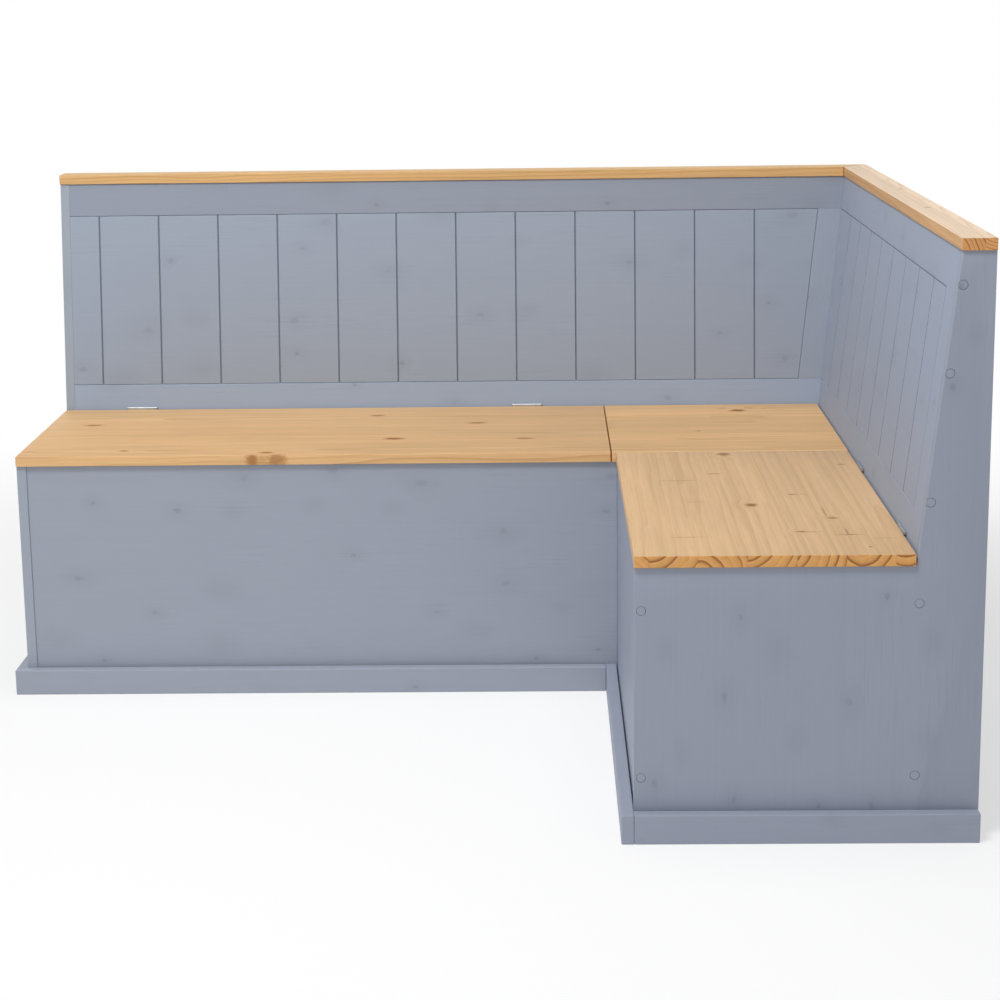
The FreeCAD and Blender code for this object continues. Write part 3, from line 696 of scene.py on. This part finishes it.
# %% Lids and corner seat
seat_ease = 1.2 * mm
mortise_margin = 5.0 * mm
short_lid_rings = 14 * mm
long_knots = [(-360, -173, 11, 5, 0.8), (-465, 63, 18, 7, 0.8), (95, 134, 15, 6, 0.8),
              (144, -84, 19, 9, 0.95), (300, 56, 18, 7, 0.85), (-88, -196, 13, 7, 0.9),
              (-112, -217, 12, 7, 0.7), (-95, -220, 32, 7, 0.3), (-66, -217, 18, 8, 0.6),
              (395, -92, 17, 6, 0.8)]
short_knots = [(332, -18, 11, 12, 0.9), (178, -49, 3, 14, 0.75), (128, -113, 2, 34, 0.55),
               (-47, -5, 11, 10, 1.0), (23, 70, 4, 6, 0.8), (24, 84, 2, 16, 0.5), (-136, 117, 5, 9, 0.9),
               (-98, 109, 36, 1.5, 0.65), (-220, 57, 4, 10, 0.9), (-222, 70, 2, 20, 0.55),
               (-239, 131, 3, 8, 0.9), (-239, 131, 2, 20, 0.5), (-222, 128, 18, 1.5, 0.65),
               (244, 185, 4, 7, 0.7), (-312, 151, 3, 3, 0.8), (-23, -93, 2, 18, 0.4),
               (-248, -125, 2, 26, 0.45), (-262, 180, 2, 22, 0.35)]
corner_knots = [(50, 154, 16, 11, 1.0), (-44, -38, 5, 4, 0.8), (90, 87, 10, 3, 0.5)]


def lid(leg):
    low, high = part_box(leg + "_lid")
    board = block(leg + "_lid_oiled", low, high)
    ease(board, seat_ease)
    depth_axis = 1 if leg == "long" else 0
    run_axis = 1 - depth_axis
    pockets = []
    for side in ("near", "far"):
        leaf_low, leaf_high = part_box(leg + "_hinge_" + side + "_lid_leaf")
        pocket_low, pocket_high = Vector(low), Vector(high)
        pocket_low[run_axis] = leaf_low[run_axis] - mortise_margin
        pocket_high[run_axis] = leaf_high[run_axis] + mortise_margin
        pocket_low[depth_axis] = leaf_low[depth_axis]
        pocket_low.z -= mm
        pocket_high.z += mm
        pocket_high[depth_axis] += mm
        pockets.append(block("mortise", pocket_low, pocket_high))
    cut_away(board, pockets)
    return board


long_lid = lid("long")
long_wood = pine("oiled_pine_long_lid", "XYZ", middle_of("long_lid"), 2, oiled, long_knots)
stand_for(long_lid, "long_lid", long_wood)
short_lid = lid("short")
short_wood = pine("oiled_pine_short_lid", "YXZ", middle_of("short_lid"), 5, oiled_short, short_knots,
                  ring_wide=short_lid_rings)
stand_for(short_lid, "short_lid", short_wood)
corner = block("corner_seat_oiled", *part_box("corner_seat"))
ease(corner, seat_ease)
corner_wood = pine("oiled_pine_corner_seat", "XYZ", middle_of("corner_seat"), 9, oiled, corner_knots)
stand_for(corner, "corner_seat", corner_wood)
print("faces of the long lid:", len(long_lid.data.polygons))

# %% [markdown]
# The caps meet in a mitre at the rear corner. Each starts as a block as long as its wall
# and is bisected along the diagonal, with the open cut filled and the corner beyond it
# thrown away. A gap of 1.5 mm stays between the two, as on the real bench.

# %% Caps with a mitre
mitre_gap = 1.5 * mm
cap_knots = {"long": [(-240, 3, 8, 5, 0.7), (305, -8, 7, 4, 0.6)],
             "short": [(-205, 0, 7, 5, 0.7), (110, 8, 6, 4, 0.6)]}


def cap(leg, sign):
    node = leg + "_cap"
    low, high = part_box(node)
    rail = block(node + "_oiled", low, high)
    corner_spot = Vector((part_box("short_cap")[1].x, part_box("long_cap")[1].y, 0))
    away = Vector((1, -1, 0)).normalized() * sign
    bpy.ops.object.mode_set(mode="EDIT")
    bpy.ops.mesh.select_all(action="SELECT")
    bpy.ops.mesh.bisect(plane_co=corner_spot - away * mitre_gap / 2, plane_no=away,
                        use_fill=True, clear_outer=True)
    bpy.ops.object.mode_set(mode="OBJECT")
    ease(rail, seat_ease)
    return rail


for leg, sign, order, seed, colours in (("long", 1, "XYZ", 14, oiled_cap_with_painted_shade),
                                        ("short", -1, "YXZ", 19, oiled_pale)):
    rail = cap(leg, sign)
    node = leg + "_cap"
    stand_for(rail, node, pine("oiled_pine_" + node, order, middle_of(node), seed, colours, cap_knots[leg]))
    print("faces of the", leg, "cap:", len(rail.data.polygons))

# %% [markdown]
# The backrests and everything inside the chests keep the engineering model's own shapes,
# grooves included. Three live modifiers ease their edges without touching the mesh: Weld
# joins the loose triangles, Decimate dissolves flat ones into whole faces, and Bevel
# rounds what is sharp. Weighted Normal keeps the flat faces flat.

# %% Dress the remaining nodes
def dress(node, material, radius):
    piece = nodes[node]
    piece.data.materials.clear()
    piece.data.materials.append(material)
    weld = piece.modifiers.new("weld", "WELD")
    weld.merge_threshold = 0.01 * mm
    whole = piece.modifiers.new("whole_faces", "DECIMATE")
    whole.decimate_type = "DISSOLVE"
    whole.angle_limit = math.radians(0.5)
    bevel = piece.modifiers.new("eased", "BEVEL")
    bevel.width = radius
    bevel.segments = 2
    bevel.limit_method = "ANGLE"
    bevel.angle_limit = math.radians(25)
    piece.modifiers.new("flat_faces", "WEIGHTED_NORMAL")


# Besides the chest's, these tones are painted light: cooler backrests, a darker top rail and a lighter, bluer
# bottom rail
painted_nodes = {"back_bottom_rail": ("long_way", "bottom_rail"), "back_field": ("long_way", "backrest"),
                 "back_top_rail": ("long_way", "top_rail"), "back_panel": ("long_way", "chest"),
                 "back_corner_stile": ("upright", "backrest"), "back_front_stile": ("upright", "backrest")}
orders = {("long", "long_way"): "XZY", ("long", "upright"): "ZXY",
          ("short", "long_way"): "YZX", ("short", "upright"): "ZYX"}


field_behind_arm = 0.5 * mm
# Where the shade painted into the grooves starts behind the face, and how dark it gets.
# The short leg's rails and stile take a fainter painted shade at their joints
groove_shade = {"long": (1.0 * mm, 0.72), "short": (0.0, 0.42)}
short_joint_shade = (0.5 * mm, 0.9)
backrest_ease = {"long": 0.5 * mm, "short": 0.2 * mm}


def backrest_face(leg):
    """The sloping face as a direction, the distance of the face along it, and its shade."""
    axis, foot, top, foot_z, top_z = arm_profile(leg)
    slope = (top - foot) / (top_z - foot_z)
    direction = Vector((0, 0, -slope))
    direction[axis] = 1.0
    spot = Vector((0, 0, foot_z))
    spot[axis] = foot + field_behind_arm
    return tuple(direction), direction.dot(spot), *groove_shade[leg]


print("long backrest face:", backrest_face("long"))
# Each board from here on takes the next seed, so its grain differs from its neighbour's
seed = 40
for leg in ("long", "short"):
    for part, (way, tone) in painted_nodes.items():
        node = leg + "_" + part
        if node in nodes:
            seed += 1
            name = "brushed_paint_on_" + node
            face = None if part == "back_panel" else backrest_face(leg)
            # The short backrest's cooler tone is painted light, against the warm light from the seats
            if leg == "short" and tone != "chest":
                tone = "short_backrest"
                face = face if part == "back_field" else (*face[:2], *short_joint_shade)
            paint = painted(name, orders[leg, way], middle_of(node), seed, tone, face)
            dress(node, paint, backrest_ease[leg])

# %% [markdown]
# Inside, the battens and the rear post are bare planed pine, because nobody paints what
# a lid hides. The partitions are painted like the walls. The chest floors are birch
# plywood, whose veneer is peeled off the log in one wide sheet, so it has no staves and
# its rings run in wide slow waves.

# %% Inner boards and steel
inner_ease = 0.8 * mm
metal_ease = 0.15 * mm
veneer_sheet = 1.3
veneer_ring = 11 * mm
for leg, order, turned in (("long", "XYZ", "YZX"), ("short", "YXZ", "XZY")):
    for part in ("floor_batten_front", "floor_batten_rear", "lid_rest"):
        node = leg + "_" + part
        seed += 1
        dress(node, pine("planed_pine_" + node, order, middle_of(node), seed, bare, rough=0.6), inner_ease)
    node = leg + "_partition"
    seed += 1
    dress(node, painted("brushed_paint_on_" + node, turned, middle_of(node), seed), inner_ease)
    node = leg + "_floor"
    seed += 1
    dress(node, pine("peeled_birch_plywood_" + node, order, middle_of(node), seed, birch,
                     stave_wide=veneer_sheet, ring_wide=veneer_ring, rough=0.55), inner_ease)
for node, order in (("corner_rest_rear", "XYZ"), ("corner_rest_side", "YXZ"), ("corner_post", "ZXY")):
    seed += 1
    dress(node, pine("planed_pine_" + node, order, middle_of(node), seed, bare, rough=0.6), inner_ease)

metal = [node for node in nodes if "hinge" in node or "screws" in node]
for node in metal:
    dress(node, steel, metal_ease)
print("dressed inner boards, steel nodes:", len(metal))

# %% [markdown]
# The studio: a white floor that keeps the bench's soft shadow, a white world that lights
# from all round, a lamp high in front to the left, a wide faint one in front of the bench
# and a wide one overhead that lays a soft shadow under the lids. The world and floor read
# the light path, so that the background is white for the camera and in reflections,
# without more light on the bench.

# %% Floor, world and lamps
def seen_directly(tree):
    path = add(tree, "ShaderNodeLightPath")
    seen = path.outputs["Is Camera Ray"]
    for other in ("Is Glossy Ray", "Is Transmission Ray"):
        seen = add(tree, "ShaderNodeMath", {"operation": "MAXIMUM"},
                   {0: seen, 1: path.outputs[other]}).outputs[0]
    return seen


def studio_floor():
    bpy.ops.object.select_all(action="DESELECT")
    bpy.ops.mesh.primitive_plane_add(size=30, location=(0, 0, 0))
    floor = bpy.context.object
    floor.name = "studio_floor"
    material, tree = new_material("white_paper_floor")
    grain = add(tree, "ShaderNodeTexNoise", {"Scale": 40.0, "Detail": 2.0})
    roughness = add(tree, "ShaderNodeMapRange", {3: 0.85, 4: 0.95}, {0: grain.outputs["Fac"]})
    paper = add(tree, "ShaderNodeBsdfPrincipled",
                {"Base Color": linear("#F4F4F4"), "Specular IOR Level": 0.2},
                {"Roughness": roughness.outputs[0]})
    # Round the bench the paper glows by about half and shows the soft shadow, and further
    # out it glows fully and runs into the white backdrop.
    place = add(tree, "ShaderNodeTexCoord").outputs["Object"]
    away = add(tree, "ShaderNodeVectorMath", {"operation": "LENGTH"}, {0: place}).outputs["Value"]
    far = add(tree, "ShaderNodeMapRange",
              {"interpolation_type": "SMOOTHSTEP", 1: 1.2, 2: 2.8, 3: 0.55, 4: 1.0}, {0: away})
    bright = add(tree, "ShaderNodeMath", {"operation": "MULTIPLY"},
                 {0: far.outputs[0], 1: seen_directly(tree)})
    white = add(tree, "ShaderNodeEmission", {"Color": (1, 1, 1, 1), "Strength": 1.0})
    shader = add(tree, "ShaderNodeMixShader", {},
                 {0: bright.outputs[0], 1: paper.outputs[0], 2: white.outputs[0]})
    floor.data.materials.append(finish_material(material, shader))
    floor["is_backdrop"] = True


def studio_world(strength):
    world = bpy.data.worlds.new("studio")
    bpy.context.scene.world = world
    world.use_nodes = True
    tree = world.node_tree
    tree.nodes.clear()
    power = add(tree, "ShaderNodeMapRange", {3: strength, 4: 1.0}, {0: seen_directly(tree)})
    back = add(tree, "ShaderNodeBackground", {"Color": (1, 1, 1, 1)}, {"Strength": power.outputs[0]})
    output = add(tree, "ShaderNodeOutputWorld")
    tree.links.new(back.outputs[0], output.inputs[0])


def lamp(name, place, aim, size, power):
    data = bpy.data.lights.new(name, "AREA")
    data.shape = "RECTANGLE"
    data.size, data.size_y = size
    data.energy = power
    light = bpy.data.objects.new(name, data)
    bpy.context.scene.collection.objects.link(light)
    light.location = place
    light.rotation_euler = (Vector(aim) - Vector(place)).to_track_quat("-Z", "Y").to_euler()


studio_floor()
studio_world(strength=0.35)
lamp("key", (-1.0, -1.9, 4.1), aim=(0.0, 0.1, 0.45), size=(1.4, 1.0), power=108)
lamp("front_fill", (-1.6, -4.2, 2.9), aim=(0.0, 0.2, 0.5), size=(3.0, 2.4), power=20)
lamp("overhead", (0.1, 0.0, 4.2), aim=(0.1, 0.2, 0.4), size=(3.0, 2.0), power=34)
print("lamps in watts:", {light.name: light.energy for light in bpy.data.lights})

# %% [markdown]
# The camera stands where the photographer stood: almost square to the long leg and 1.3 m
# above the floor, with a long lens. Its place was found by matching the corners of the
# bench to the photograph, and a small shift keeps the bench in the same part of the frame.

# %% Camera
camera_place = Vector((161.9, -3671.6, 1316.3)) * mm
camera_turn = {"yaw": 1.118, "pitch": -11.346, "roll": 0.732}
focal_pixels = 2080.8
frame_pixels = 1000
camera_data = bpy.data.cameras.new("photographer")
camera_data.sensor_width = 36.0
camera_data.lens = focal_pixels * camera_data.sensor_width / frame_pixels
camera_data.shift_y = -0.10
camera = bpy.data.objects.new("photographer", camera_data)
bpy.context.scene.collection.objects.link(camera)
turn = Matrix.Rotation(math.radians(camera_turn["yaw"]), 4, "Z")
turn = turn @ Matrix.Rotation(math.radians(90 + camera_turn["pitch"]), 4, "X")
turn = turn @ Matrix.Rotation(math.radians(-camera_turn["roll"]), 4, "Z")
camera.matrix_world = Matrix.Translation(camera_place) @ turn
bpy.context.scene.camera = camera
bpy.context.scene.view_settings.view_transform = "Standard"
print("lens in mm:", round(camera_data.lens, 2))

# %% [markdown]
# Last, the box of the dressed bench is set beside the box of the engineering model. The
# two agree, because eased edges only take wood away.

# %% Sizes and finish
seen_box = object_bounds()
for title, corners in (("cad", cad_box), ("seen", seen_box)):
    print(title, [[round(v, 4) for v in corner] for corner in corners])
